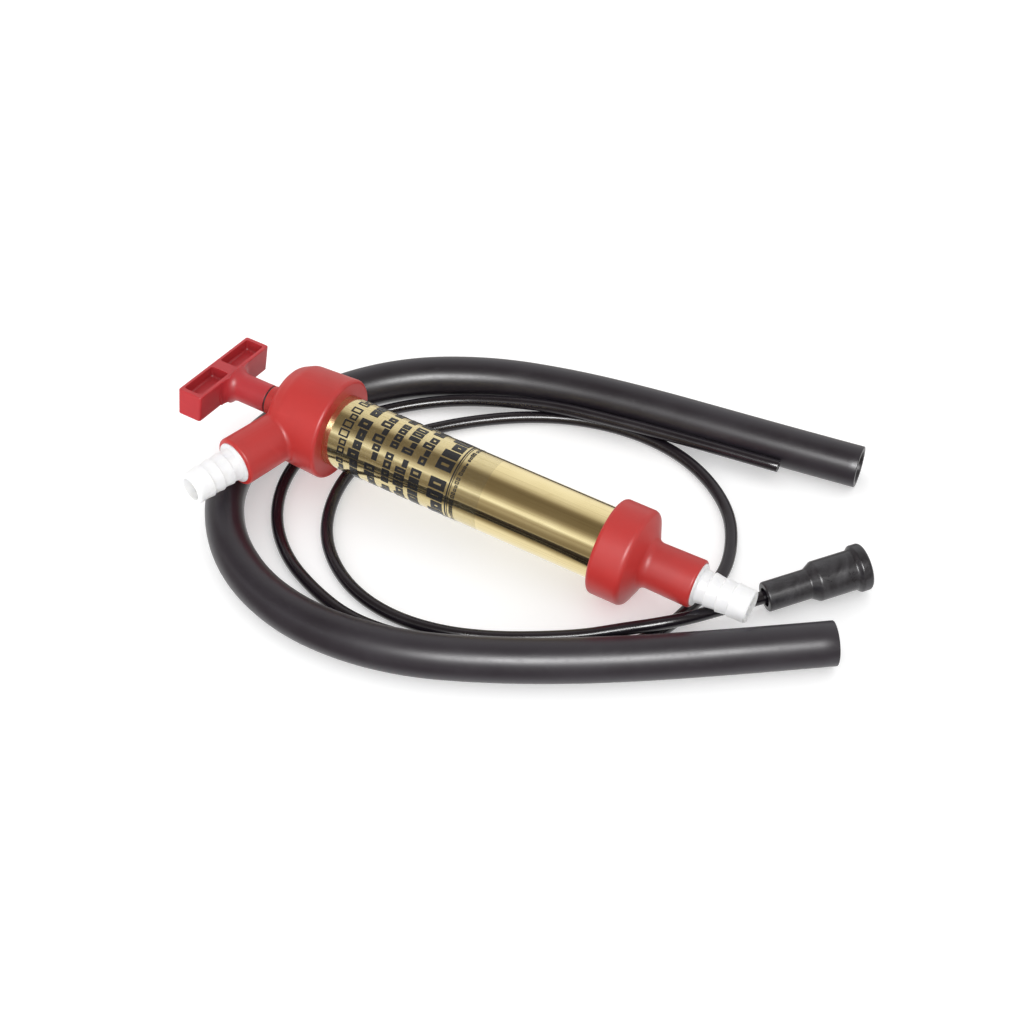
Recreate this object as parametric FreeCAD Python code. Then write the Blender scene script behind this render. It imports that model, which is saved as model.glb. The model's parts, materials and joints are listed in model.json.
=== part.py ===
import FreeCAD, Part
import math
import os

# Hand-operated barrel pump for moving oil, fuel and coolant, lying across its own coiled hoses.
# Millimetres.  The pump is drawn in its own frame: the barrel's axis is +X, x = 0 is the rim of
# the head cap where the barrel comes out, and +X runs to the foot.  seat() lays it on the floor.

V = FreeCAD.Vector
X_AXIS = V(1, 0, 0)
Y_AXIS = V(0, 1, 0)

# Lie of the pump: the foot collar is on the floor and the outlet boss on the hose
PITCH = 3.2
AXIS_X = -86.9
AXIS_Y = 25.7
AXIS_Z = 39.7

# Barrel and its printed film
BARREL_R = 21.8
BARREL_WALL = 1.6
BORE_R = BARREL_R - BARREL_WALL
BARREL_HEAD_END = -18.0
BARREL_FOOT_END = 191.0
FILM_START = 0.6
FILM_END = 103.0
FILM_GAP = 0.02
FILM_THICK = 0.13

# Head cap
HEAD_RIM_R = 31.3
HEAD_BACK_R = 29.9
HEAD_SHOULDER = -28.0
HEAD_DOME_END = -43.5
HEAD_END = -49.0
HEAD_BOSS_R = 8.8
HEAD_SOCKET_END = -20.0
CHAMBER_R = 18.4
CHAMBER_END = -33.5
SOCKET_R = BARREL_R + 0.05

# Outlet boss, leaning back towards the handle
OUTLET_ANGLE = 72.8
OUTLET_DROP = 1.0
OUTLET_ROOT = -21.8
OUTLET_LENGTH = 56.8
OUTLET_R = 15.1
OUTLET_ROOT_R = 14.4

# Foot cap
FOOT_RIM = 176.4
FOOT_R = 28.8
FOOT_SHOULDER = 196.6
FOOT_CONE_END = 203.4
FOOT_SOCKET_END = 193.0
SPIGOT_ROOT_R = 13.7
SPIGOT_R = 14.3
SPIGOT_END = 233.4

# Hose barbs, the same at both ends
BARB_LENGTH = 32.1
BARB_PLUG_R = 10.5
BARB_PLUG = 14.0
BARB_FLANGE_R = 12.6
BARB_FLANGE = 1.6
BARB_SEAT = 0.9
BARB_CREST_R = 10.25
BARB_VALLEY_R = 9.35
BARB_LAND_R = 9.75
BARB_TIP_R = 9.5
BARB_BORE_R = 7.0
BARB_STEPS = (6.6, 13.7, 20.8)
PORT_R = 8.6
FIT_GAP = 0.05
RING_SECTION = 1.2

# Rod, gland and handle
ROD_R = 4.75
ROD_END_R = 3.0
ROD_START = -72.0
ROD_SHOULDER = 169.0
ROD_END = 188.3
RUN_GAP = 0.06
BUSH_R = 6.4
BUSH_START = -46.0
BUSH_END = -37.6
SEAL_R = 8.2
SEAL_END = -35.0
GLAND_R = 12.0
STEM_R = 8.7
STEM_END = -50.0
BAR_X = -83.4
BAR_LENGTH = 71.6
BAR_WIDTH = 16.2
BAR_HEIGHT = 17.5
BAR_RISE = 0.3
BAR_ROLL = -9.8
BAR_DRAFT = 0.35
POCKET_WALL = 2.1
POCKET_END_WALL = 3.1
POCKET_WEB = 8.4
POCKET_DEPTH = 7.0
STEM_FLARE = 7.0
INSERT_R = 6.2

# Piston and the two lift valves
PISTON_START = 175.0
PISTON_END = 181.5
PISTON_R = BORE_R - 0.4
HUB_R = 5.2
HUB_START = 170.3
CUP_R = BORE_R - 0.06
CUP_LIP_START = 165.0
CUP_LIP = 2.0
CUP_HOLE_R = 13.9
CUP_THICK = 2.0
FOLLOWER_THICK = 1.8
FLAP_R = 13.4
FLAP_THICK = 1.5
FLAP_GAP = 0.1
PORT_CIRCLE_R = 9.3
PORT_HOLE_R = 2.7
PORT_COUNT = 6
WASHER_R = 7.0
NUT_FLATS = 10.0
NUT_START = 182.9
NUT_END = 187.4
SEAT_R = 16.4
SEAT_START = 195.0
SEAT_END = 198.5
VALVE_PIN_R = 2.2
VALVE_PIN_HEAD_R = 5.5
VALVE_PIN_HEAD = 190.9

# Loose hose: 3/4 inch bore, 1 inch outside, lying on the floor
HOSE_R = 12.7
HOSE_BORE_R = 9.5
HOSE_Z = HOSE_R + 0.05
CUT_BEVEL = 0.3
HOSE_ROUTE = [
    (186, 171), (150, 167), (104, 162.5), (52, 157.5), (2, 150), (-48, 136.5), (-93.5, 111),
    (-127, 71), (-143, 22), (-138, -24), (-112, -61), (-77, -84), (-33, -94),
    (18, -88), (68.5, -66.5), (119, -38.5), (175, -1.5), (225.5, 34),
]

# Thin dip tube, two turns inside the hose, and the rubber reducer on its end
TUBE_R = 3.75
TUBE_BORE_R = 2.4
TUBE_Z = TUBE_R + 0.05
TUBE_ROUTE = [
    (189.4, 63.1, 10.6), (176, 48.6, 9.2), (163, 33.5, 9.8), (148, 12.8, 12.6),
    (132.5, -1.5, 12.6), (117, -10, 8.8), (99.5, -21, 5), (78, -33.5, TUBE_Z),
    (54, -46.5, TUBE_Z), (28, -56, TUBE_Z), (0, -59.5, TUBE_Z), (-27, -55, TUBE_Z),
    (-50, -43, TUBE_Z), (-69, -24.5, TUBE_Z), (-81, 0, TUBE_Z), (-86, 28, TUBE_Z),
    (-81, 56, TUBE_Z), (-66, 80, TUBE_Z), (-44, 102, TUBE_Z), (-18, 121.5, TUBE_Z),
    (11, 135.5, TUBE_Z), (44, 142.3, TUBE_Z), (77, 140, TUBE_Z), (106, 128, TUBE_Z),
    (130, 107.5, TUBE_Z), (143, 83, TUBE_Z), (148.5, 57.5, TUBE_Z), (142.5, 31.5, TUBE_Z),
    (138.5, 11.5, TUBE_Z), (130, -8, TUBE_Z), (110.5, -25.5, TUBE_Z), (86, -40.5, TUBE_Z),
    (61, -52.5, TUBE_Z), (35, -62.7, TUBE_Z), (6, -70.3, TUBE_Z), (-24, -71.7, TUBE_Z),
    (-53, -63, TUBE_Z), (-80, -49.3, TUBE_Z), (-102, -27.5, TUBE_Z), (-115.5, 0, TUBE_Z),
    (-119, 29, TUBE_Z), (-114, 57, TUBE_Z), (-101, 79, TUBE_Z), (-82, 98, 4.8), (-58, 113.5, 6.8),
    (-28.5, 124, 9.6), (1, 131.8, 12.1), (34, 137, 12.1), (68, 141.5, 12.1), (103, 145.2, 12.1),
    (143, 149, 12.1),
]
REDUCER_START = V(177.2, 49.9, 9.3)
REDUCER_END = V(218.8, 95, 14.2)
REDUCER_NARROW_R = 8.75
REDUCER_WIDE_R = 11.75
REDUCER_LIP_R = 13.8
REDUCER_STEP = 26.0
REDUCER_CONE = 5.0
REDUCER_LIP = 6.0
REDUCER_MOUTH_R = 5.6
REDUCER_SOCKET_R = 9.2
REDUCER_SOCKET = 28.0


def rounded_edges(corners, radii):
    """Straight runs through the corners, each inner corner turned by a tangent arc."""
    edges, last = [], corners[0]
    for before, corner, after, radius in zip(corners, corners[1:], corners[2:], radii):
        arriving = (corner - before).normalize()
        leaving = (after - corner).normalize()
        half = arriving.getAngle(leaving) / 2
        reach = radius * math.tan(half)
        start, end = corner - arriving * reach, corner + leaving * reach
        inward = (leaving - arriving).normalize()
        middle = corner + inward * (radius / math.cos(half) - radius)
        if (start - last).Length > 1e-6:
            edges.append(Part.LineSegment(last, start).toShape())
        edges.append(Part.Arc(start, middle, end).toShape())
        last = end
    edges.append(Part.LineSegment(last, corners[-1]).toShape())
    return edges


def turned(profile):
    """Solid of revolution about X.  Each corner of the profile is (x, r) or (x, r, round)."""
    points = [V(corner[0], 0, corner[1]) for corner in profile]
    rounds = [corner[2] if len(corner) > 2 else 0 for corner in profile]
    edges, count = [], len(points)
    ends = []
    for i in range(count):
        before, corner, after = points[i - 1], points[i], points[(i + 1) % count]
        arriving = (corner - before).normalize()
        leaving = (after - corner).normalize()
        half = arriving.getAngle(leaving) / 2
        reach = rounds[i] * math.tan(half)
        start, end = corner - arriving * reach, corner + leaving * reach
        ends.append((start, end))
        if rounds[i]:
            inward = (leaving - arriving).normalize()
            middle = corner + inward * (rounds[i] / math.cos(half) - rounds[i])
            edges.append(Part.Arc(start, middle, end).toShape())
    for i in range(count):
        start, end = ends[i - 1][1], ends[i][0]
        if (end - start).Length > 1e-6:
            edges.append(Part.LineSegment(start, end).toShape())
    outline = Part.Wire(Part.__sortEdges__(edges))
    return Part.Face(outline).revolve(V(0, 0, 0), X_AXIS, 360)


def rod(start, end, radius):
    """Round bar along X."""
    return Part.makeCylinder(radius, end - start, V(start, 0, 0), X_AXIS)


def ring(start, end, inner, outer):
    """Plain ring about X."""
    return rod(start, end, outer).cut(rod(start, end, inner))


def soft_ring(middle, mean, section):
    """Round-section rubber ring about X."""
    return Part.makeTorus(mean, section, V(middle, 0, 0), X_AXIS)


def ports(start, end):
    """Circle of round ports through a valve plate."""
    holes = []
    for i in range(PORT_COUNT):
        turn = math.radians(360 / PORT_COUNT * i)
        centre = V(start, PORT_CIRCLE_R * math.cos(turn), PORT_CIRCLE_R * math.sin(turn))
        holes.append(Part.makeCylinder(PORT_HOLE_R, end - start, centre, X_AXIS))
    return Part.makeCompound(holes)


def seat(shape):
    """Lay a piece drawn in the pump's frame in its place on the floor."""
    laid = shape.copy()
    tilt = FreeCAD.Rotation(Y_AXIS, PITCH)
    laid.Placement = FreeCAD.Placement(V(AXIS_X, AXIS_Y, AXIS_Z), tilt).multiply(laid.Placement)
    return laid


def outlet_placement(distance):
    """Frame on the outlet's axis, its X pointing out, this far from the barrel's axis."""
    lean = math.radians(OUTLET_ANGLE)
    drop = math.radians(OUTLET_DROP)
    out = V(-math.cos(lean), -math.sin(lean) * math.cos(drop), -math.sin(lean) * math.sin(drop))
    turn = FreeCAD.Rotation(X_AXIS, out)
    return FreeCAD.Placement(V(OUTLET_ROOT, 0, 0) + out * distance, turn)


def at_outlet(shape, distance):
    placed = shape.copy()
    placed.Placement = outlet_placement(distance).multiply(placed.Placement)
    return placed


def at_inlet(shape):
    placed = shape.copy()
    placed.Placement = FreeCAD.Placement(V(SPIGOT_END, 0, 0), FreeCAD.Rotation())
    return placed


def barb_socket():
    """Hollow that takes a barb's plug and flange, with its mouth at x = 0."""
    plug = rod(-BARB_PLUG - 0.3, 1, BARB_PLUG_R + FIT_GAP)
    return plug.fuse(rod(-BARB_SEAT, 1, BARB_FLANGE_R + FIT_GAP))


def barrel():
    return ring(BARREL_HEAD_END, BARREL_FOOT_END, BORE_R, BARREL_R)


def print_film():
    inner = BARREL_R + FILM_GAP
    return ring(FILM_START, FILM_END, inner, inner + FILM_THICK)


def head_cap():
    """Domed moulding with the barrel's socket, the rod's gland and the angled outlet."""
    body = turned([
        (0, 0), (0, HEAD_RIM_R, 2.2), (HEAD_SHOULDER, HEAD_BACK_R, 9.0),
        (-37.0, 25.6, 9.0), (HEAD_DOME_END, HEAD_BOSS_R, 2.0), (HEAD_END, HEAD_BOSS_R, 0.5),
        (HEAD_END, 0),
    ])
    boss = turned([
        (0, 0), (0, OUTLET_ROOT_R), (OUTLET_LENGTH, OUTLET_R, 1.6), (OUTLET_LENGTH, 0),
    ])
    boss = at_outlet(boss, 0)
    cap = body.fuse(boss).removeSplitter()
    cap = blend(cap, 3.0)
    hollow = rod(HEAD_SOCKET_END, 1, SOCKET_R)
    hollow = hollow.fuse(rod(CHAMBER_END, HEAD_SOCKET_END + 1, CHAMBER_R))
    hollow = hollow.fuse(rod(SEAL_END, CHAMBER_END + 1, GLAND_R + FIT_GAP))
    hollow = hollow.fuse(rod(BUSH_END, SEAL_END + 1, SEAL_R + FIT_GAP))
    hollow = hollow.fuse(rod(BUSH_START, BUSH_END + 1, BUSH_R + FIT_GAP))
    hollow = hollow.fuse(rod(HEAD_END - 1, BUSH_START + 1, ROD_R + 0.5))
    passage = at_outlet(rod(6, OUTLET_LENGTH - BARB_PLUG, PORT_R), 0)
    socket = at_outlet(barb_socket(), OUTLET_LENGTH)
    return cap.cut(hollow).cut(passage).cut(socket)


def blend(cap, radius):
    """Fillet the seam where the outlet boss grows out of the head."""
    seam = []
    for edge in cap.Edges:
        if len(edge.Vertexes) < 1 or edge.Curve.TypeId in ("Part::GeomCircle", "Part::GeomLine"):
            continue
        seam.append(edge)
    return cap.makeFillet(radius, seam)


def foot_cap():
    """Collar, sloping shoulder and spigot, bored for the barrel, the valve and a barb."""
    body = turned([
        (FOOT_RIM, 0), (FOOT_RIM, FOOT_R, 2.6), (FOOT_SHOULDER, FOOT_R, 3.6),
        (FOOT_CONE_END, SPIGOT_ROOT_R, 5.0), (SPIGOT_END, SPIGOT_R, 1.4), (SPIGOT_END, 0),
    ])
    hollow = rod(FOOT_RIM - 1, FOOT_SOCKET_END, SOCKET_R)
    hollow = hollow.fuse(rod(FOOT_SOCKET_END - 1, SEAT_END, SEAT_R + FIT_GAP))
    throat = Part.makeCone(SEAT_R - 2.4, PORT_R, 7.0, V(SEAT_END, 0, 0), X_AXIS)
    hollow = hollow.fuse(throat).fuse(rod(SEAT_END + 6.5, SPIGOT_END, PORT_R))
    return body.cut(hollow).cut(at_inlet(barb_socket()))


def barb():
    """Nylon hose tail: plug, flange, three ridges and a plain tip."""
    outline = [(-BARB_PLUG, BARB_BORE_R), (-BARB_PLUG, BARB_PLUG_R)]
    groove = BARB_PLUG / 2
    outline += [(-groove - 1.3, BARB_PLUG_R), (-groove - 1.3, BARB_PLUG_R - 2.0)]
    outline += [(-groove + 1.3, BARB_PLUG_R - 2.0), (-groove + 1.3, BARB_PLUG_R)]
    outline += [(-BARB_SEAT, BARB_PLUG_R), (-BARB_SEAT, BARB_FLANGE_R)]
    outline += [(BARB_FLANGE - 0.9, BARB_FLANGE_R, 0.6), (BARB_FLANGE, BARB_VALLEY_R + 0.9, 0.8)]
    for step in BARB_STEPS:
        outline += [(step, BARB_VALLEY_R, 0.25), (step + 0.5, BARB_CREST_R, 0.3)]
    outline += [(BARB_STEPS[-1] + 4.5, BARB_LAND_R, 3.0), (BARB_LENGTH - 1.2, BARB_LAND_R, 0.8)]
    outline += [(BARB_LENGTH, BARB_TIP_R - 0.5, 0.3), (BARB_LENGTH, BARB_BORE_R, 0.3)]
    return turned(outline)


def barb_ring():
    return soft_ring(-BARB_PLUG / 2, BARB_PLUG_R - 0.95, 0.94)


def end_gasket(start, end):
    return ring(start + 0.05, end - 0.05, BORE_R - 0.6, BARREL_R - 0.1)


def rod_bush():
    return ring(BUSH_START + 0.1, BUSH_END - 0.1, ROD_R + RUN_GAP, BUSH_R)


def rod_seal():
    """Lip seal: a ring with a V groove facing the chamber."""
    return turned([
        (BUSH_END, ROD_R + RUN_GAP), (SEAL_END - 0.1, ROD_R + RUN_GAP),
        (SEAL_END - 0.1, ROD_R + 1.1), (SEAL_END - 1.4, ROD_R + 1.7),
        (SEAL_END - 0.1, SEAL_R - 1.1), (SEAL_END - 0.1, SEAL_R), (BUSH_END, SEAL_R),
    ])


def gland_ring():
    return ring(SEAL_END, CHAMBER_END - 0.1, ROD_R + 0.4, GLAND_R)


def handle_bar():
    """Cross-bar with a slight draft, narrower at its closed underside."""
    def section(z, inset):
        half_width, half_length = BAR_WIDTH / 2 - inset, BAR_LENGTH / 2 - inset
        corners = [(-half_width, -half_length), (half_width, -half_length),
                   (half_width, half_length), (-half_width, half_length)]
        loop = [V(BAR_X + x, y, z) for x, y in corners]
        return Part.makePolygon(loop + loop[:1])
    low, high = BAR_RISE - BAR_HEIGHT / 2, BAR_RISE + BAR_HEIGHT / 2
    bar = Part.makeLoft([section(low, BAR_DRAFT), section(high, 0)], True)
    upright = [e for e in bar.Edges if abs(e.Vertexes[0].Z - e.Vertexes[1].Z) > 1]
    bar = bar.makeFillet(1.7, upright)
    rims = [e for e in bar.Edges if abs(e.Vertexes[0].Z - e.Vertexes[-1].Z) < 0.01]
    return bar.makeFillet(0.9, rims)


def handle_pockets():
    """Four pockets, two in the top of the bar and two in its underside."""
    length = (BAR_LENGTH - POCKET_WEB) / 2 - POCKET_END_WALL
    width = BAR_WIDTH - 2 * POCKET_WALL
    pockets = []
    for start in (POCKET_WEB / 2, -POCKET_WEB / 2 - length):
        corner = V(BAR_X - width / 2, start, BAR_HEIGHT / 2 - POCKET_DEPTH)
        pocket = Part.makeBox(width, length, POCKET_DEPTH + 3, corner)
        inner = [e for e in pocket.Edges if e.BoundBox.ZMin < BAR_HEIGHT / 2]
        upper = pocket.makeFillet(1.5, inner)
        lower = upper.mirror(V(0, 0, 0), V(0, 0, 1))
        for half in (upper, lower):
            half.translate(V(0, 0, BAR_RISE))
            pockets.append(half)
    return Part.makeCompound(pockets)


def handle():
    """Moulded T: a cross-bar with two open pockets, flaring into a round stem."""
    face = BAR_X + BAR_WIDTH / 2
    flare = turned([
        (face - 3, 0), (face - 3, STEM_R + STEM_FLARE), (face, STEM_R + STEM_FLARE),
        (face + 0.6, STEM_R, STEM_FLARE - 0.4), (STEM_END, STEM_R, 0.4), (STEM_END, 0),
    ])
    slab = Part.makeBox(BAR_WIDTH + STEM_FLARE + 1, BAR_LENGTH, BAR_HEIGHT - 0.4,
                        V(BAR_X, -BAR_LENGTH / 2, BAR_RISE - BAR_HEIGHT / 2 + 0.2))
    stem = rod(BAR_X, STEM_END, STEM_R)
    stem = flare.common(slab.fuse(rod(face + 1, STEM_END + 1, STEM_R + 3)))
    tee = handle_bar().fuse(stem).removeSplitter()
    tee = tee.cut(handle_pockets())
    bore = rod(ROD_START - 1, STEM_END + 1, ROD_R + FIT_GAP)
    pocket = rod(ROD_START, ROD_START + 16, INSERT_R + FIT_GAP)
    tee = tee.cut(bore.fuse(pocket))
    tee.rotate(V(0, 0, 0), X_AXIS, BAR_ROLL)
    return tee


def handle_insert():
    """Knurled brass insert that the moulded handle grips and the rod screws into."""
    sleeve = ring(ROD_START + 0.1, ROD_START + 15.9, ROD_R + FIT_GAP, INSERT_R)
    return sleeve.cut(ring(ROD_START + 7, ROD_START + 9, INSERT_R - 0.6, INSERT_R + 1))


def handle_bumper():
    return ring(STEM_END + 0.02, HEAD_END - 0.3, ROD_R + FIT_GAP, STEM_R - 0.5)


def piston_rod():
    return turned([
        (ROD_START, 0), (ROD_START, ROD_R - 0.5), (ROD_START + 0.5, ROD_R),
        (ROD_SHOULDER, ROD_R), (ROD_SHOULDER, ROD_END_R), (ROD_END - 0.6, ROD_END_R),
        (ROD_END, ROD_END_R - 0.6), (ROD_END, 0),
    ])


def stop_washer():
    return ring(ROD_SHOULDER, ROD_SHOULDER + 1, ROD_END_R + FIT_GAP, WASHER_R)


def nut_washer():
    return ring(PISTON_END + 0.3, NUT_START, ROD_END_R + FIT_GAP, WASHER_R)


def piston_nut():
    """Hexagon nut with chamfered corners."""
    corner_r = NUT_FLATS / math.sqrt(3)
    corners = []
    for i in range(7):
        turn = math.radians(60 * i)
        corners.append(V(NUT_START, corner_r * math.cos(turn), corner_r * math.sin(turn)))
    prism = Part.Face(Part.makePolygon(corners)).extrude(V(NUT_END - NUT_START, 0, 0))
    chamfered = turned([
        (NUT_START, 0), (NUT_START, NUT_FLATS / 2 + 0.1), (NUT_START + 0.7, corner_r + 0.1),
        (NUT_END - 0.7, corner_r + 0.1), (NUT_END, NUT_FLATS / 2 + 0.1), (NUT_END, 0),
    ])
    bore = rod(NUT_START - 1, NUT_END + 1, ROD_END_R + FIT_GAP)
    return prism.common(chamfered).cut(bore)


def piston_body():
    """Ported disc with a hub that the rod's end turns in."""
    body = turned([
        (HUB_START, 0), (HUB_START, HUB_R), (PISTON_START, HUB_R),
        (PISTON_START, PISTON_R, 0.4), (PISTON_END, PISTON_R, 0.8), (PISTON_END, 0),
    ])
    body = body.cut(ports(PISTON_START - 1, PISTON_END + 1))
    return body.cut(rod(HUB_START - 1, PISTON_END + 1, ROD_END_R + RUN_GAP))


def piston_cup():
    """Cup seal: a flat flange on the piston and a lip along the bore towards the head."""
    return turned([
        (PISTON_START - CUP_THICK, CUP_HOLE_R), (PISTON_START - FIT_GAP, CUP_HOLE_R),
        (PISTON_START - FIT_GAP, CUP_R - 0.3), (PISTON_START - 1.5, CUP_R),
        (CUP_LIP_START, CUP_R), (CUP_LIP_START, CUP_R - 1.0),
        (PISTON_START - CUP_THICK, CUP_R - CUP_LIP),
    ])


def cup_follower():
    end = PISTON_START - CUP_THICK - FIT_GAP
    return ring(end - FOLLOWER_THICK, end, CUP_HOLE_R, CUP_R - CUP_LIP - 0.4)


def piston_flap():
    end = PISTON_START - FLAP_GAP
    return ring(end - FLAP_THICK, end, HUB_R + 0.1, FLAP_R)


def foot_valve_seat():
    plate = rod(SEAT_START, SEAT_END - FIT_GAP, SEAT_R)
    plate = plate.cut(ports(SEAT_START - 1, SEAT_END + 1))
    return plate.cut(rod(SEAT_START - 1, SEAT_END + 1, VALVE_PIN_R + FIT_GAP))


def foot_valve_pin():
    """Mushroom pin that holds the foot valve's disc to its seat and stops its lift."""
    return turned([
        (VALVE_PIN_HEAD - 1.4, 0), (VALVE_PIN_HEAD - 1.4, VALVE_PIN_HEAD_R - 1),
        (VALVE_PIN_HEAD - 0.7, VALVE_PIN_HEAD_R), (VALVE_PIN_HEAD, VALVE_PIN_HEAD_R),
        (VALVE_PIN_HEAD, VALVE_PIN_R), (SEAT_END + 1.5, VALVE_PIN_R),
        (SEAT_END + 1.5, 0),
    ])


def foot_valve_disc():
    end = SEAT_START - FLAP_GAP
    return ring(end - FLAP_THICK, end, VALVE_PIN_R + 0.1, FLAP_R)


def route_edges(route):
    """Centreline of a hose: each corner's arc takes 0.45 of the shorter run beside it."""
    radii = []
    for before, corner, after in zip(route, route[1:], route[2:]):
        arriving, leaving = corner - before, after - corner
        shorter = min(arriving.Length, leaving.Length)
        radii.append(0.45 * shorter / math.tan(arriving.getAngle(leaving) / 2))
    return rounded_edges(route, radii), radii


def swept_tube(name, route, outer, inner):
    """Hollow hose along its route, its cut ends just broken by a small bevel."""
    edges, radii = route_edges(route)
    spine = Part.Wire(edges)
    along = (route[1] - route[0]).normalize()
    loops = [Part.Wire(Part.Circle(route[0], along, radius).toShape()) for radius in (outer, inner)]
    section = Part.Face(loops[0]).cut(Part.Face(loops[1])).Faces[0]
    tube = spine.makePipe(section)
    expected = section.Area * spine.Length
    print(name, "length", round(spine.Length, 1), "smallest radius", round(min(radii), 1),
          "volume ratio", round(tube.Volume / expected, 4))
    cuts = [e for e in tube.Edges if min((e.CenterOfMass - end).Length
                                         for end in (route[0], route[-1])) < 0.01]
    return tube.makeChamfer(CUT_BEVEL, cuts)


def hose():
    return swept_tube("hose", [V(x, y, HOSE_Z) for x, y in HOSE_ROUTE], HOSE_R, HOSE_BORE_R)


def dip_tube():
    return swept_tube("dip_tube", [V(*point) for point in TUBE_ROUTE], TUBE_R, TUBE_BORE_R)


def reducer():
    """Rubber reducer: its wide socket pushes over a barb, its narrow end holds the dip tube."""
    along = REDUCER_END - REDUCER_START
    length = along.Length
    step = REDUCER_STEP
    body = turned([
        (0, 0), (0, REDUCER_NARROW_R, 1.0), (step, REDUCER_NARROW_R, 1.5),
        (step + REDUCER_CONE, REDUCER_WIDE_R, 2.0), (length - REDUCER_LIP - 2, REDUCER_WIDE_R, 1.5),
        (length - REDUCER_LIP, REDUCER_LIP_R, 1.2), (length, REDUCER_LIP_R, 2.0), (length, 0),
    ])
    body = body.cut(rod(-1, step + 1, TUBE_R + FIT_GAP)).cut(rod(-1, 8, REDUCER_MOUTH_R))
    body = body.cut(rod(step, length - REDUCER_SOCKET + 1, PORT_R - 2))
    socket = rod(length - REDUCER_SOCKET, length + 1, REDUCER_SOCKET_R)
    floor_edge = [e for e in socket.Edges if e.BoundBox.XMax < length]
    body = body.cut(socket.makeFillet(1.0, floor_edge))
    body = body.cut(Part.makeCone(REDUCER_SOCKET_R, REDUCER_SOCKET_R + 1, 1, V(length - 0.7, 0, 0), X_AXIS))
    turn = FreeCAD.Rotation(X_AXIS, along)
    body.Placement = FreeCAD.Placement(REDUCER_START, turn).multiply(body.Placement)
    return body


def main():
    os.makedirs("parts", exist_ok=True)
    pump = {
        "barrel": barrel(),
        "print_film": print_film(),
        "head_cap": head_cap(),
        "foot_cap": foot_cap(),
        "outlet_barb": at_outlet(barb(), OUTLET_LENGTH),
        "outlet_barb_ring": at_outlet(barb_ring(), OUTLET_LENGTH),
        "inlet_barb": at_inlet(barb()),
        "inlet_barb_ring": at_inlet(barb_ring()),
        "head_gasket": end_gasket(HEAD_SOCKET_END, BARREL_HEAD_END),
        "foot_gasket": end_gasket(BARREL_FOOT_END, FOOT_SOCKET_END),
        "rod_bush": rod_bush(),
        "rod_seal": rod_seal(),
        "gland_ring": gland_ring(),
        "handle": handle(),
        "handle_insert": handle_insert(),
        "handle_bumper": handle_bumper(),
        "piston_rod": piston_rod(),
        "stop_washer": stop_washer(),
        "nut_washer": nut_washer(),
        "piston_nut": piston_nut(),
        "piston_body": piston_body(),
        "piston_cup": piston_cup(),
        "cup_follower": cup_follower(),
        "piston_flap": piston_flap(),
        "foot_valve_seat": foot_valve_seat(),
        "foot_valve_pin": foot_valve_pin(),
        "foot_valve_disc": foot_valve_disc(),
    }
    pieces = {name: seat(shape) for name, shape in pump.items()}
    pieces["hose"] = hose()
    pieces["dip_tube"] = dip_tube()
    pieces["reducer"] = reducer()
    for name, shape in pieces.items():
        shape.exportStep(os.path.join("parts", name + ".step"))


main()
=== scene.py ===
import json
import math
import random

import bpy
from mathutils import Euler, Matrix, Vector

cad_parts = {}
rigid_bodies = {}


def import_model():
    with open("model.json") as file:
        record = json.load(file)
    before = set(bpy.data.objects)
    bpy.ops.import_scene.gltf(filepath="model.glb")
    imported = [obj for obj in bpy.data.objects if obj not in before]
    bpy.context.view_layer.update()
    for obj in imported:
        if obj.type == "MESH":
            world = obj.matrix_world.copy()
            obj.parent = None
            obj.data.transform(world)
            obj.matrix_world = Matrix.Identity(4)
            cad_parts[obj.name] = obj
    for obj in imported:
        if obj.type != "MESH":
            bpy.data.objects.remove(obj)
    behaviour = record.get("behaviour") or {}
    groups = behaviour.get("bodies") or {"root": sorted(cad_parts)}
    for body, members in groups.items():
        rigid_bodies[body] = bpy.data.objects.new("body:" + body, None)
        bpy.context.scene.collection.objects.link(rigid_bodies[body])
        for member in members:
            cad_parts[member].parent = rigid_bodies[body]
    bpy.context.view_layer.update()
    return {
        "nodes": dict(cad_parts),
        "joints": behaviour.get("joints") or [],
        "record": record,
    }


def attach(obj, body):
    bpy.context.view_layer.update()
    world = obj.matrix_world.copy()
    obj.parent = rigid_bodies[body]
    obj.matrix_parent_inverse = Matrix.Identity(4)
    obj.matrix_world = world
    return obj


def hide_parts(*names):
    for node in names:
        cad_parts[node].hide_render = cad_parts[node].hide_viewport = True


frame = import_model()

nodes = frame["nodes"]

# The barrel's axis, which the handle turns about: it starts at the head cap's rim and dips
# towards the inlet
spin = next(joint for joint in frame["joints"] if joint["name"] == "handle_spin")
AXIS_START = Vector(spin["pos_m"])
PITCH = math.asin(spin["axis"][2])
FILM_R = 0.02195

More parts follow.
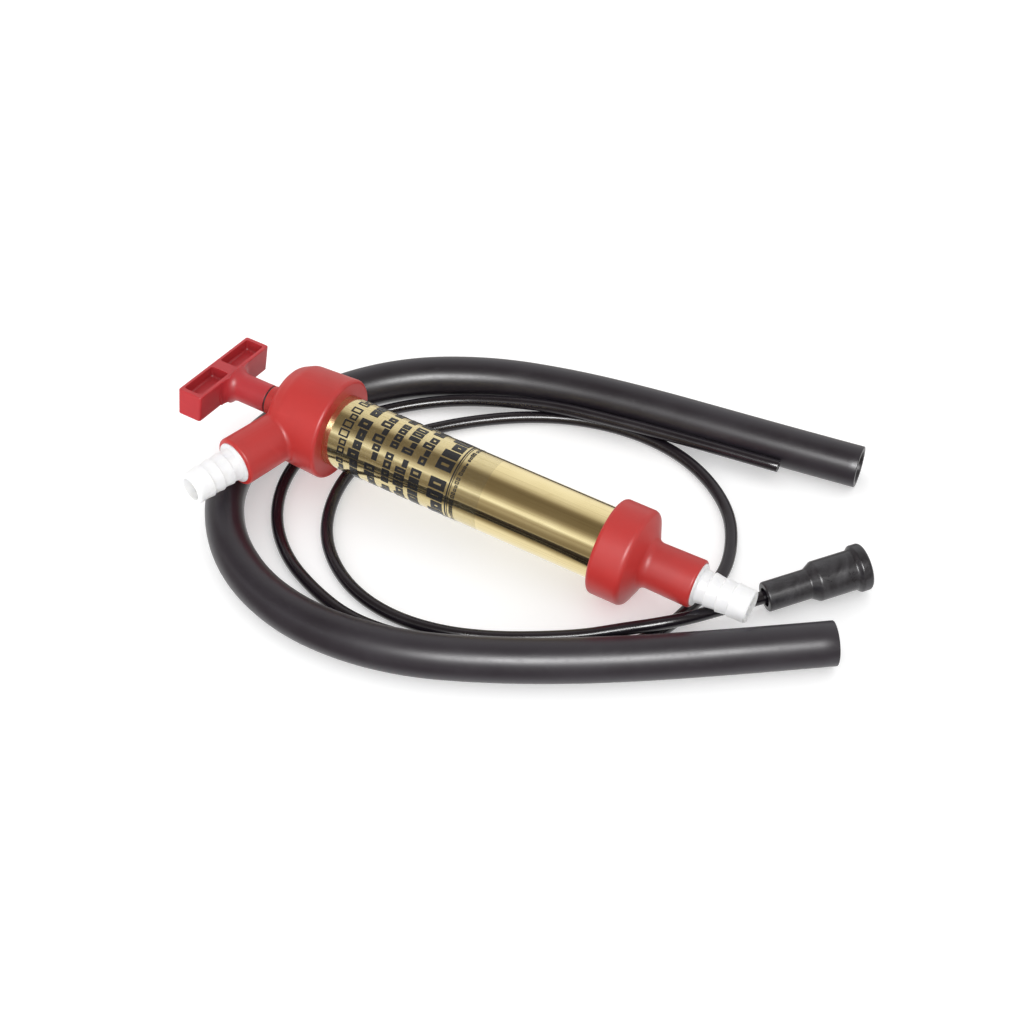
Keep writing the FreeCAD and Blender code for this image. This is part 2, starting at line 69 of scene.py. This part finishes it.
# Cords: radii, and the routes that they lie along
HOSE_R = 0.0127
HOSE_BORE_R = 0.0095
TUBE_R = 0.00375
TUBE_BORE_R = 0.0024
HOSE_Z = 0.01275
HOSE_ROUTE = [
    (0.186, 0.171), (0.150, 0.167), (0.104, 0.1625), (0.052, 0.1575), (0.002, 0.150),
    (-0.048, 0.1365), (-0.0935, 0.111), (-0.127, 0.071), (-0.143, 0.022), (-0.138, -0.024),
    (-0.112, -0.061), (-0.077, -0.084), (-0.033, -0.094), (0.018, -0.088), (0.0685, -0.0665),
    (0.119, -0.0385), (0.175, -0.0015), (0.2255, 0.034),
]
TUBE_Z = 0.0038
TUBE_ROUTE = [
    (0.1894, 0.0631, 0.0106), (0.176, 0.0486, 0.0092), (0.163, 0.0335, 0.0098),
    (0.148, 0.0128, 0.0126), (0.1325, -0.0015, 0.0126), (0.117, -0.01, 0.0088),
    (0.0995, -0.021, 0.005), (0.078, -0.0335, TUBE_Z), (0.054, -0.0465, TUBE_Z),
    (0.028, -0.056, TUBE_Z), (0, -0.0595, TUBE_Z), (-0.027, -0.055, TUBE_Z),
    (-0.05, -0.043, TUBE_Z), (-0.069, -0.0245, TUBE_Z), (-0.081, 0, TUBE_Z),
    (-0.086, 0.028, TUBE_Z), (-0.081, 0.056, TUBE_Z), (-0.066, 0.08, TUBE_Z),
    (-0.044, 0.102, TUBE_Z), (-0.018, 0.1215, TUBE_Z), (0.011, 0.1355, TUBE_Z),
    (0.044, 0.1423, TUBE_Z), (0.077, 0.14, TUBE_Z), (0.106, 0.128, TUBE_Z),
    (0.13, 0.1075, TUBE_Z), (0.143, 0.083, TUBE_Z), (0.1485, 0.0575, TUBE_Z),
    (0.1425, 0.0315, TUBE_Z), (0.1385, 0.0115, TUBE_Z), (0.13, -0.008, TUBE_Z),
    (0.1105, -0.0255, TUBE_Z), (0.086, -0.0405, TUBE_Z), (0.061, -0.0525, TUBE_Z),
    (0.035, -0.0627, TUBE_Z), (0.006, -0.0703, TUBE_Z), (-0.024, -0.0717, TUBE_Z),
    (-0.053, -0.063, TUBE_Z), (-0.08, -0.0493, TUBE_Z), (-0.102, -0.0275, TUBE_Z),
    (-0.1155, 0, TUBE_Z), (-0.119, 0.029, TUBE_Z), (-0.114, 0.057, TUBE_Z),
    (-0.101, 0.079, TUBE_Z), (-0.082, 0.098, 0.0048), (-0.058, 0.1135, 0.0068),
    (-0.0285, 0.124, 0.0096), (0.001, 0.1318, 0.0121), (0.034, 0.137, 0.0121),
    (0.068, 0.1415, 0.0121), (0.103, 0.1452, 0.0121), (0.143, 0.149, 0.0121),
]


def link(obj):
    bpy.context.scene.collection.objects.link(obj)
    return obj


def aim(obj, target):
    obj.rotation_euler = (Vector(target) - obj.location).to_track_quat("-Z", "Y").to_euler()


def mesh_piece(name, vertices, faces):
    """Smooth-shaded mesh object."""
    mesh = bpy.data.meshes.new(name)
    mesh.from_pydata([tuple(v) for v in vertices], [], faces)
    mesh.update()
    for polygon in mesh.polygons:
        polygon.use_smooth = True
    return link(bpy.data.objects.new(name, mesh))


# Camera

CAMERA_PLACE = (0.4027, -0.6582, 0.81455)
CAMERA_TARGET = (0.0155, 0.0488, 0.0)
LENS_MM = 67.74
SENSOR_MM = 36.0


def make_camera():
    data = bpy.data.cameras.new("camera")
    data.lens = LENS_MM
    data.sensor_width = SENSOR_MM
    data.clip_start = 0.05
    data.clip_end = 20.0
    camera = link(bpy.data.objects.new("camera", data))
    camera.location = CAMERA_PLACE
    aim(camera, CAMERA_TARGET)
    bpy.context.scene.camera = camera


# Cords

def smooth_line(route):
    """Points along the route's NURBS spline."""
    data = bpy.data.curves.new("line", "CURVE")
    data.dimensions = "3D"
    data.resolution_u = 12
    spline = data.splines.new("NURBS")
    spline.points.add(len(route) - 1)
    for point, place in zip(spline.points, route):
        point.co = (*place, 1.0)
    spline.order_u = 3
    spline.use_endpoint_u = True
    obj = link(bpy.data.objects.new("line", data))
    graph = bpy.context.evaluated_depsgraph_get()
    mesh = bpy.data.meshes.new_from_object(obj.evaluated_get(graph))
    line = [vertex.co.copy() for vertex in mesh.vertices]
    bpy.data.objects.remove(obj)
    return line


def length_of(line):
    return sum((b - a).length for a, b in zip(line, line[1:]))


# A bend narrows the thick hose from the first curvature on, and fully from the second (per metre)
NARROWS_AT = 5.5
PRESSED_AT = 11.5
# Points of the line, each way, over which the curvature and the bend's outer side are judged
BEND_REACH = 14
SIDE_REACH = 6
# The share of its radius that a fully pressed hose loses, and the rims' rounding by wall thickness
HOSE_PRESS = 0.14
RIM_SHARE = 0.12


def squeeze(line, i):
    """How far a thick hose is pressed narrow by its bend near point i, from 0 to 1."""
    low, high = max(i - BEND_REACH, 0), min(i + BEND_REACH, len(line) - 1)
    turn = (line[low + 1] - line[low]).angle(line[high] - line[high - 1])
    run = length_of(line[low:high + 1])
    return min(max((turn / run - NARROWS_AT) / (PRESSED_AT - NARROWS_AT), 0.0), 1.0)


def tube_stations(last, outer, inner):
    """Rings of an open-ended tube with rounded rims: point on the line, radius, shift along it."""
    rim = (outer - inner) * RIM_SHARE
    corner = 0.3 * rim
    middle = range(1, last)
    return [
        (0, outer - rim, 0.0), (0, outer - corner, corner), (0, outer, rim),
        *[(i, outer, 0.0) for i in middle],
        (last, outer, -rim), (last, outer - corner, -corner), (last, outer - rim, 0.0),
        (last, inner + rim, 0.0), (last, inner, -rim),
        *[(i, inner, 0.0) for i in reversed(middle)],
        (0, inner, rim), (0, inner + rim, 0.0),
    ]


def hollow_tube(name, line, outer, inner, sides, narrow=0.0):
    """Tube along the line.  Its bends are pressed narrow by up to the given share of its radius."""
    last = len(line) - 1
    vertices, faces = [], []
    stations = tube_stations(last, outer, inner)
    for i, radius, shift in stations:
        tangent = (line[min(i + 1, last)] - line[max(i - 1, 0)]).normalized()
        side = tangent.cross(Vector((0, 0, 1))).normalized()
        up = side.cross(tangent).normalized()
        press = narrow * squeeze(line, i) * outer if narrow else 0.0
        chord = line[max(i - SIDE_REACH, 0)] + line[min(i + SIDE_REACH, last)]
        outward = 1.0 if (line[i] - chord / 2).dot(side) > 0 else -1.0
        centre = line[i] + tangent * shift + side * outward * press
        for k in range(sides):
            turn = 2 * math.pi * k / sides
            across = side * math.cos(turn) * (radius - press)
            vertices.append(centre + across + up * math.sin(turn) * radius)
    total = len(stations)
    for s in range(total):
        after = (s + 1) % total
        for k in range(sides):
            beside = (k + 1) % sides
            faces.append((s * sides + k, s * sides + beside,
                          after * sides + beside, after * sides + k))
    return mesh_piece(name, vertices, faces)


def make_cords():
    hose_line = smooth_line([(x, y, HOSE_Z) for x, y in HOSE_ROUTE])
    hose = hollow_tube("hose_body", hose_line, HOSE_R, HOSE_BORE_R, 56, HOSE_PRESS)
    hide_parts("hose")
    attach(hose, "pump")
    tube_line = smooth_line(TUBE_ROUTE)
    tube = hollow_tube("dip_tube_body", tube_line, TUBE_R, TUBE_BORE_R, 28)
    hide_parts("dip_tube")
    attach(tube, "pump")
    return hose, tube


# Materials.  Noise scales are per metre and bump distances are in metres.  A range turns a noise's
# values into a share of a colour or into a roughness.

class NodeTree:
    """Shorthands for making nodes and wiring them."""

    def __init__(self, tree):
        self.tree = tree

    def node(self, kind, inputs=(), **settings):
        made = self.tree.nodes.new(kind)
        for key, value in settings.items():
            setattr(made, key, value)
        for key, value in dict(inputs).items():
            if isinstance(value, bpy.types.NodeSocket):
                self.tree.links.new(value, made.inputs[key])
            else:
                made.inputs[key].default_value = value
        return made

    def range(self, value, low, high, out_low, out_high):
        made = self.node("ShaderNodeMapRange", {
            "Value": value, "From Min": low, "From Max": high,
            "To Min": out_low, "To Max": out_high,
        })
        return made.outputs[0]

    def maths(self, operation, a, b):
        return self.node("ShaderNodeMath", {0: a, 1: b}, operation=operation).outputs[0]


class Shader(NodeTree):
    """A node material with a few shorthands for procedural detail."""

    def __init__(self, name, colour, roughness, **sockets):
        self.material = bpy.data.materials.new(name)
        self.material.use_nodes = True
        super().__init__(self.material.node_tree)
        self.bsdf = self.tree.nodes["Principled BSDF"]
        self.set("Base Color", (*colour, 1.0))
        self.set("Roughness", roughness)
        for socket, value in sockets.items():
            self.set(socket.replace("_", " "), value)
        self.normal = None
        self.place = self.node("ShaderNodeTexCoord").outputs["Object"]

    def set(self, socket, value):
        self.bsdf.inputs[socket].default_value = value

    def along_barrel(self, stretch=(1, 1, 1)):
        """Coordinates whose X runs along the barrel from the head cap's rim."""
        turned = self.node("ShaderNodeMapping", {
            "Vector": self.place, "Location": AXIS_START, "Rotation": (0, PITCH, 0),
        }, vector_type="TEXTURE")
        return self.scaled(turned.outputs[0], stretch)

    def scaled(self, place, stretch):
        return self.node("ShaderNodeMapping", {"Vector": place, "Scale": stretch}).outputs[0]

    def noise(self, scale, detail=4.0, rough=0.55, place=None, distortion=0.0):
        made = self.node("ShaderNodeTexNoise", {
            "Vector": place or self.place, "Scale": scale, "Detail": detail,
            "Roughness": rough, "Distortion": distortion,
        })
        return made.outputs["Fac"]

    def spots(self, scale):
        made = self.node("ShaderNodeTexVoronoi", {"Vector": self.place, "Scale": scale})
        return made.outputs["Distance"]

    def mixed(self, amount, a, b):
        made = self.node("ShaderNodeMix", {"Factor": amount}, data_type="RGBA")
        for index, colour in ((6, a), (7, b)):
            if isinstance(colour, bpy.types.NodeSocket):
                self.tree.links.new(colour, made.inputs[index])
            else:
                made.inputs[index].default_value = (*colour, 1.0)
        return made.outputs[2]

    def feed(self, socket, value):
        self.tree.links.new(value, self.bsdf.inputs[socket])

    def bump(self, height, strength, distance):
        inputs = {"Height": height, "Strength": strength, "Distance": distance}
        if self.normal:
            inputs["Normal"] = self.normal
        self.normal = self.node("ShaderNodeBump", inputs).outputs[0]
        self.feed("Normal", self.normal)

    def worn(self, radius):
        """0 on flat areas, rising at edges and corners."""
        bevel = self.node("ShaderNodeBevel", {"Radius": radius}, samples=4)
        plain = self.node("ShaderNodeNewGeometry").outputs["Normal"]
        dot = self.node("ShaderNodeVectorMath", {0: bevel.outputs[0], 1: plain},
                        operation="DOT_PRODUCT")
        return self.range(dot.outputs["Value"], 0.995, 0.8, 0.0, 1.0)


def toned(colour, red, green, blue):
    return (colour[0] * red, colour[1] * green, colour[2] * blue)


def brass(name, colour, roughness):
    """Polished brass with fine lines along it, faint rings round it and dulled clouds."""
    s = Shader(name, colour, roughness, Metallic=1.0)
    along = s.along_barrel()
    hairline = s.noise(900, 3, place=s.scaled(along, (0.02, 1, 1)))
    rings = s.noise(2600, 2, place=s.scaled(along, (1, 0.03, 0.03)))
    cloud = s.noise(22, 5, 0.6)
    dull = s.noise(70, 5, 0.65, distortion=0.6)
    tone = s.mixed(s.range(cloud, 0.35, 0.7, 0, 0.5), colour, toned(colour, 0.86, 0.82, 0.72))
    tone = s.mixed(s.range(hairline, 0.5, 0.72, 0, 0.45), tone, toned(colour, 0.74, 0.70, 0.62))
    tone = s.mixed(s.range(dull, 0.62, 0.8, 0, 0.35), tone, toned(colour, 0.7, 0.62, 0.5))
    s.feed("Base Color", tone)
    rough = s.maths("ADD", s.range(dull, 0.3, 0.8, roughness * 0.75, roughness * 1.5),
                    s.range(hairline, 0.4, 0.7, 0.0, 0.04))
    s.feed("Roughness", rough)
    s.bump(hairline, 0.05, 0.00003)
    s.bump(rings, 0.03, 0.00002)
    return s.material


def red_plastic(name, colour):
    """Moulded satin plastic with faint flow marks, sink ripples, pits and paler worn edges."""
    s = Shader(name, colour, 0.40, IOR=1.42, Subsurface_Weight=0.12, Subsurface_Scale=1.0,
               Subsurface_Radius=(0.004, 0.001, 0.0008))
    cloud = s.noise(26, 5, 0.6, distortion=0.4)
    fine = s.noise(1500, 3, 0.6)
    swirl = s.noise(60, 4, 0.5, place=s.scaled(s.place, (0.4, 1, 1)), distortion=1.2)
    pits = s.spots(700)
    paler = tuple(level * 1.12 + 0.01 for level in colour)
    tone = s.mixed(s.range(cloud, 0.35, 0.68, 0, 0.6), colour, toned(colour, 0.82, 0.82, 0.82))
    tone = s.mixed(s.range(swirl, 0.6, 0.75, 0, 0.35), tone, paler)
    s.feed("Base Color", s.mixed(s.maths("MULTIPLY", s.worn(0.0009), 0.28), tone, paler))
    s.feed("Roughness", s.range(cloud, 0.3, 0.7, 0.36, 0.46))
    s.bump(fine, 0.10, 0.00006)
    s.bump(s.range(pits, 0.0, 0.1, 0.0, 1.0), 0.05, 0.00005)
    s.bump(cloud, 0.12, 0.0006)
    return s.material


def nylon(name):
    """White nylon that lets some light through, with flow lines along the barb."""
    s = Shader(name, (0.94, 0.94, 0.935), 0.34, IOR=1.5, Subsurface_Weight=0.7,
               Subsurface_Scale=1.0, Subsurface_Radius=(0.006, 0.006, 0.0055),
               Transmission_Weight=0.08)
    cloud = s.noise(90, 4, 0.6, distortion=0.8)
    flow = s.noise(240, 3, place=s.along_barrel((0.25, 1, 1)))
    s.feed("Base Color", s.mixed(s.range(cloud, 0.35, 0.7, 0, 0.6), (0.985, 0.985, 0.98),
                                 (0.94, 0.94, 0.935)))
    s.feed("Roughness", s.range(cloud, 0.3, 0.7, 0.28, 0.40))
    s.bump(flow, 0.08, 0.00012)
    return s.material


def hose_rubber(name):
    """Satin black rubber with extrusion lines, pits and a little dust."""
    s = Shader(name, (0.016, 0.014, 0.018), 0.34, IOR=1.5)
    dust = s.noise(420, 5, 0.65)
    cloud = s.noise(14, 5, 0.6, distortion=0.5)
    specks = s.spots(900)
    lines = s.noise(700, 2, place=s.scaled(s.place, (1, 1, 0.25)))
    tone = s.mixed(s.range(cloud, 0.35, 0.68, 0, 1), (0.0155, 0.0115, 0.0172),
                   (0.024, 0.0195, 0.027))
    s.feed("Base Color", s.mixed(s.range(dust, 0.62, 0.8, 0, 0.2), tone, (0.07, 0.066, 0.072)))
    s.feed("Roughness", s.maths("ADD", s.range(cloud, 0.3, 0.7, 0.32, 0.41),
                                s.range(dust, 0.5, 0.8, 0.0, 0.10)))
    s.bump(lines, 0.10, 0.00010)
    s.bump(dust, 0.10, 0.00008)
    s.bump(s.range(specks, 0.0, 0.08, 0.0, 1.0), 0.05, 0.00005)
    return s.material


def tube_plastic(name):
    """Glossy black plastic tube."""
    s = Shader(name, (0.010, 0.008, 0.011), 0.14, IOR=1.5)
    cloud = s.noise(30, 4, 0.6, distortion=0.3)
    dust = s.noise(800, 4, 0.6)
    s.feed("Base Color", s.mixed(s.range(cloud, 0.35, 0.7, 0, 1), (0.010, 0.0068, 0.0112),
                                 (0.018, 0.0135, 0.0195)))
    s.feed("Roughness", s.range(cloud, 0.3, 0.7, 0.20, 0.28))
    s.bump(dust, 0.04, 0.00004)
    return s.material


def dusty_rubber(name):
    """Moulded black rubber with chalky bloom, wiped smears and paler worn edges."""
    s = Shader(name, (0.02, 0.019, 0.022), 0.45, IOR=1.48)
    cloud = s.noise(75, 6, 0.68, distortion=0.9)
    grain = s.noise(1400, 4, 0.7)
    smears = s.noise(160, 4, 0.6, distortion=1.5)
    chalk = s.maths("MULTIPLY", s.range(cloud, 0.42, 0.72, 0, 1), s.range(grain, 0.3, 0.7, 0.3, 1))
    tone = s.mixed(chalk, (0.016, 0.0145, 0.018), (0.062, 0.059, 0.066))
    tone = s.mixed(s.range(smears, 0.6, 0.75, 0, 0.5), tone, (0.012, 0.011, 0.013))
    s.feed("Base Color", s.mixed(s.maths("MULTIPLY", s.worn(0.0010), 0.5), tone,
                                 (0.085, 0.081, 0.09)))
    s.feed("Roughness", s.range(cloud, 0.35, 0.7, 0.26, 0.44))
    s.bump(grain, 0.22, 0.00010)
    s.bump(cloud, 0.15, 0.0004)
    return s.material


def clear_film(name):
    """Thin clear film, slightly hazed and rippled."""
    s = Shader(name, (0.17, 0.16, 0.11), 0.05, IOR=1.35, Alpha=0.05)
    ripple = s.noise(38, 3, place=s.along_barrel((0.5, 1, 1)))
    haze = s.noise(300, 4, 0.6)
    s.feed("Roughness", s.range(haze, 0.4, 0.75, 0.05, 0.14))
    s.feed("Base Color", s.mixed(s.range(haze, 0.5, 0.8, 0, 0.5), (0.17, 0.16, 0.11),
                                 (0.40, 0.38, 0.30)))
    s.bump(ripple, 0.12, 0.0004)
    return s.material


def print_ink(name):
    """Black ink, patchy where it is thin."""
    s = Shader(name, (0.012, 0.012, 0.014), 0.30)
    patchy = s.noise(1800, 4, 0.7)
    s.feed("Base Color", s.mixed(s.range(patchy, 0.55, 0.8, 0, 0.5), (0.010, 0.010, 0.012),
                                 (0.05, 0.048, 0.045)))
    s.feed("Roughness", s.range(patchy, 0.3, 0.8, 0.22, 0.45))
    s.bump(patchy, 0.06, 0.00003)
    return s.material


def steel(name):
    """Ground steel with fine rings round it."""
    s = Shader(name, (0.60, 0.60, 0.61), 0.2, Metallic=1.0)
    rings = s.noise(1600, 3, place=s.along_barrel((1, 0.05, 0.05)))
    cloud = s.noise(60, 5, 0.6)
    s.feed("Base Color", s.mixed(s.range(cloud, 0.35, 0.7, 0, 1), (0.62, 0.62, 0.63),
                                 (0.50, 0.50, 0.51)))
    s.feed("Roughness", s.range(rings, 0.35, 0.7, 0.16, 0.30))
    s.bump(rings, 0.03, 0.00002)
    return s.material


def inner_plastic(name):
    """Natural-coloured plastic of the bush, piston and valve seat."""
    s = Shader(name, (0.80, 0.79, 0.75), 0.42)
    cloud = s.noise(80, 4, 0.6)
    s.feed("Base Color", s.mixed(s.range(cloud, 0.35, 0.7, 0, 1), (0.83, 0.82, 0.78),
                                 (0.72, 0.71, 0.66)))
    s.feed("Roughness", s.range(cloud, 0.3, 0.7, 0.36, 0.5))
    s.bump(s.noise(900, 3), 0.1, 0.00005)
    return s.material


def seal_rubber(name):
    """Matte black rubber of the seals, rings, gaskets and valve discs."""
    s = Shader(name, (0.02, 0.02, 0.021), 0.5)
    cloud = s.noise(300, 5, 0.65)
    s.feed("Base Color", s.mixed(s.range(cloud, 0.4, 0.75, 0, 1), (0.018, 0.018, 0.019),
                                 (0.05, 0.05, 0.052)))
    s.feed("Roughness", s.range(cloud, 0.3, 0.7, 0.42, 0.6))
    s.bump(cloud, 0.12, 0.00008)
    return s.material


def paint(obj, material):
    obj.data.materials.clear()
    obj.data.materials.append(material)


def paint_slots(hose, tube):
    """A procedural material on every piece, chosen by the record's material slot."""
    made = {
        "brass": brass("polished_brass", (0.93, 0.79, 0.445), 0.085),
        "film": clear_film("clear_film"),
        "cap_red": red_plastic("cap_red", (0.485, 0.030, 0.027)),
        "handle_red": red_plastic("handle_red", (0.47, 0.030, 0.037)),
        "nylon": nylon("nylon_white"),
        "seal_rubber": seal_rubber("seal_rubber"),
        "bush_plastic": inner_plastic("bush_plastic"),
        "insert_brass": brass("insert_brass", (0.75, 0.58, 0.30), 0.28),
        "steel": steel("bright_steel"),
        "hose_black": hose_rubber("hose_black"),
        "tube_black": tube_plastic("tube_black"),
        "reducer_rubber": dusty_rubber("reducer_rubber"),
    }
    for entry in frame["record"]["subparts"]:
        paint(nodes[entry["node"]], made[entry["material_slot"]])
    paint(hose, made["hose_black"])
    paint(tube, made["tube_black"])


# Print on the film

# The ink's height over the film, and its longest flat step round it in radians
INK_LIFT = 0.00003
PATCH_STEP = 0.04

# Rows of print: place from the head cap's rim, height, width of a mark, stroke, gap
PRINT_ROWS = [
    (0.0085, 0.0062, 0.0046, 0.00095, 0.0011), (0.0172, 0.0074, 0.0062, 0.00225, 0.0008),
    (0.0292, 0.0068, 0.0048, 0.00150, 0.0008), (0.0388, 0.0068, 0.0046, 0.00150, 0.0008),
    (0.0486, 0.0068, 0.0044, 0.00145, 0.0008), (0.0584, 0.0066, 0.0046, 0.00155, 0.0008),
    (0.0710, 0.0102, 0.0074, 0.00260, 0.0012), (0.0858, 0.0024, 0.0017, 0.00050, 0.0006),
]
# Thin rules round the barrel: place and thickness
PRINT_LINES = ((0.0828, 0.0007), (0.0842, 0.0003))

# Angles round the barrel that the rows and the rules fill, 0 in front, in radians
ROWS_FROM = -0.95
ROWS_TO = 2.6
LINES_SPAN = (-1.5, 3.2)

# A random number picks each mark: a narrow box, a low box, a full box or a half-height block
NARROW_BELOW = 0.14
LOW_BELOW = 0.55
BLOCK_ABOVE = 0.93
NARROW_SHARE = 0.72
LOW_CUT = 0.28

# Marks in a group, the spread of their widths, and the space between groups as a share of a mark
GROUP = (4, 8)
WIDTHS = (0.8, 1.05)
GROUP_GAP = 0.55


def on_film(along, around):
    """Point on the ink: along the barrel from the head cap's rim, around it in radians."""
    radius = FILM_R + INK_LIFT
    point = Vector((along, -math.cos(around) * radius, math.sin(around) * radius))
    point.rotate(Euler((0, PITCH, 0)))
    return AXIS_START + point


def add_patch(vertices, faces, along, around):
    """Inked patch between two places along the barrel and two angles round it."""
    steps = int((around[1] - around[0]) / PATCH_STEP) + 1
    base = len(vertices)
    for i in range(steps + 1):
        angle = around[0] + (around[1] - around[0]) * i / steps
        vertices.append(on_film(along[0], angle))
        vertices.append(on_film(along[1], angle))
    for i in range(steps):
        a = base + 2 * i
        faces.append((a, a + 1, a + 3, a + 2))


def add_mark(vertices, faces, low, high, angle, wide, edge):
    """One generic mark, and the angle it takes up: a box, narrow, low or full, or a solid block."""
    kind = random.random()
    stroke = edge * FILM_R
    if kind < NARROW_BELOW:
        wide *= NARROW_SHARE
    elif kind < LOW_BELOW:
        low += (high - low) * LOW_CUT
    if kind > BLOCK_ABOVE:
        add_patch(vertices, faces, ((low + high) / 2, high), (angle, angle + wide))
        return wide
    far = angle + wide
    add_patch(vertices, faces, (low, high), (angle, angle + edge))
    add_patch(vertices, faces, (low, high), (far - edge, far))
    for level in (low, high - stroke):
        add_patch(vertices, faces, (level, level + stroke), (angle + edge, far - edge))
    return wide


def make_print():
    """Rows of plain boxes and blocks round the barrel, in place of lettering."""
    random.seed(4)
    vertices, faces = [], []
    for start, height, width, stroke, gap in PRINT_ROWS:
        angle = ROWS_FROM
        while angle < ROWS_TO:
            for _ in range(random.randint(*GROUP)):
                wide = width * random.uniform(*WIDTHS) / FILM_R
                angle += add_mark(vertices, faces, start, start + height, angle, wide,
                                  stroke / FILM_R)
                angle += gap / FILM_R
            angle += GROUP_GAP * width / FILM_R
    for start, thick in PRINT_LINES:
        add_patch(vertices, faces, (start, start + thick), LINES_SPAN)
    obj = mesh_piece("film_print", vertices, faces)
    paint(obj, print_ink("print_ink"))
    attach(obj, "pump")


# Stage and lights

FLOOR_HALF = 4.0


def make_stage():
    """Plain pale floor."""
    far = FLOOR_HALF
    floor = mesh_piece("floor", [(-far, -far, 0), (far, -far, 0), (far, far, 0), (-far, far, 0)],
                       [(0, 1, 2, 3)])
    s = Shader("floor_paper", (0.76, 0.76, 0.76), 0.7, Specular_IOR_Level=0.1,
               Emission_Color=(1.0, 1.0, 1.0, 1.0), Emission_Strength=0.38)
    grain = s.noise(60, 4, 0.6)
    s.feed("Base Color", s.mixed(s.range(grain, 0.3, 0.7, 0, 1), (0.765, 0.765, 0.765),
                                 (0.755, 0.755, 0.755)))
    paint(floor, s.material)
    floor.visible_glossy = False


# Lights: place, target, size, and power in watts
KEY = ((-0.6, 0.5, 1.4), (0, 0, 0), (1.2, 1.2), 2)
FILL = ((0.1, -1.3, 0.42), (0, 0, 0.02), (1.2, 0.7), 7.5)
FLASH = ((0.57, -0.74, 0.99), (0, 0, 0), (0.80, 0.40), 30)


def area_light(name, place, target, size, power):
    data = bpy.data.lights.new(name, "AREA")
    data.shape = "RECTANGLE"
    data.size, data.size_y = size
    data.energy = power
    light = link(bpy.data.objects.new(name, data))
    light.location = place
    aim(light, target)
    return light


# Materials that mirror the studio only, without the flash
UNFLASHED = ("polished_brass", "clear_film")

# What the glossy pieces mirror: degrees round the barrel's direction (0 in front at the horizon,
# 90 overhead, 180 behind) and how bright the studio is there
STUDIO_BANDS = (
    (-180, 0.90), (-170, 0.60), (-160, 0.55), (-145, 0.95), (-70, 0.98), (-52, 0.88), (-46, 0.60),
    (-38, 0.27), (-28, 0.16), (-19, 0.15), (-10, 0.42), (-3, 0.19), (6, 0.23), (15, 0.38),
    (21, 0.34), (27, 0.50), (34, 1.16), (39, 0.92), (46, 0.60), (53, 0.32), (63, 0.16),
    (93, 0.13), (101, 0.22), (110, 0.52), (120, 0.74), (134, 0.87), (155, 0.97), (178, 1.00),
)


def make_world():
    """Even white light for everything, and softboxes with dark gaps for reflections."""
    world = bpy.data.worlds.new("studio")
    world.use_nodes = True
    n = NodeTree(world.node_tree)
    even = n.tree.nodes["Background"]
    even.inputs["Color"].default_value = (1.0, 1.0, 1.0, 1.0)
    place = n.node("ShaderNodeTexCoord").outputs["Generated"]
    split = n.node("ShaderNodeSeparateXYZ", {0: place})
    front = n.maths("MULTIPLY", split.outputs["Y"], -1.0)
    angle = n.maths("ARCTAN2", split.outputs["Z"], front)
    ramp = n.node("ShaderNodeValToRGB", {0: n.range(angle, -math.pi, math.pi, 0, 1)})
    stops = ramp.color_ramp.elements
    for number, (degrees, level) in enumerate(STUDIO_BANDS):
        where = (degrees + 180) / 360
        stop = stops[number] if number < 2 else stops.new(where)
        stop.position = where
        stop.color = (min(level ** 0.9, 1.2), level, level ** 1.15, 1.0)
    bands = n.node("ShaderNodeBackground", {"Color": ramp.outputs[0]})
    mirrored = n.node("ShaderNodeLightPath").outputs["Is Glossy Ray"]
    mix = n.node("ShaderNodeMixShader", {0: mirrored, 1: even.outputs[0], 2: bands.outputs[0]})
    n.tree.links.new(mix.outputs[0], n.tree.nodes["World Output"].inputs["Surface"])
    bpy.context.scene.world = world


def make_lights():
    """A soft key behind, a soft fill in front, and a flash that only gives highlights."""
    make_world()
    key = area_light("key", *KEY)
    fill = area_light("fill", *FILL)
    key.visible_glossy = False
    fill.visible_glossy = False
    flash = area_light("flash", *FLASH)
    flash.visible_diffuse = False
    flash.visible_camera = False
    lit = bpy.data.collections.new("flash_lit")
    for obj in bpy.context.scene.objects:
        if obj.type == "MESH" and obj.data.materials[0].name not in UNFLASHED:
            lit.objects.link(obj)
    flash.light_linking.receiver_collection = lit


make_camera()
hose, tube = make_cords()
paint_slots(hose, tube)
make_print()
make_stage()
make_lights()
bpy.context.scene.view_settings.view_transform = "Standard"
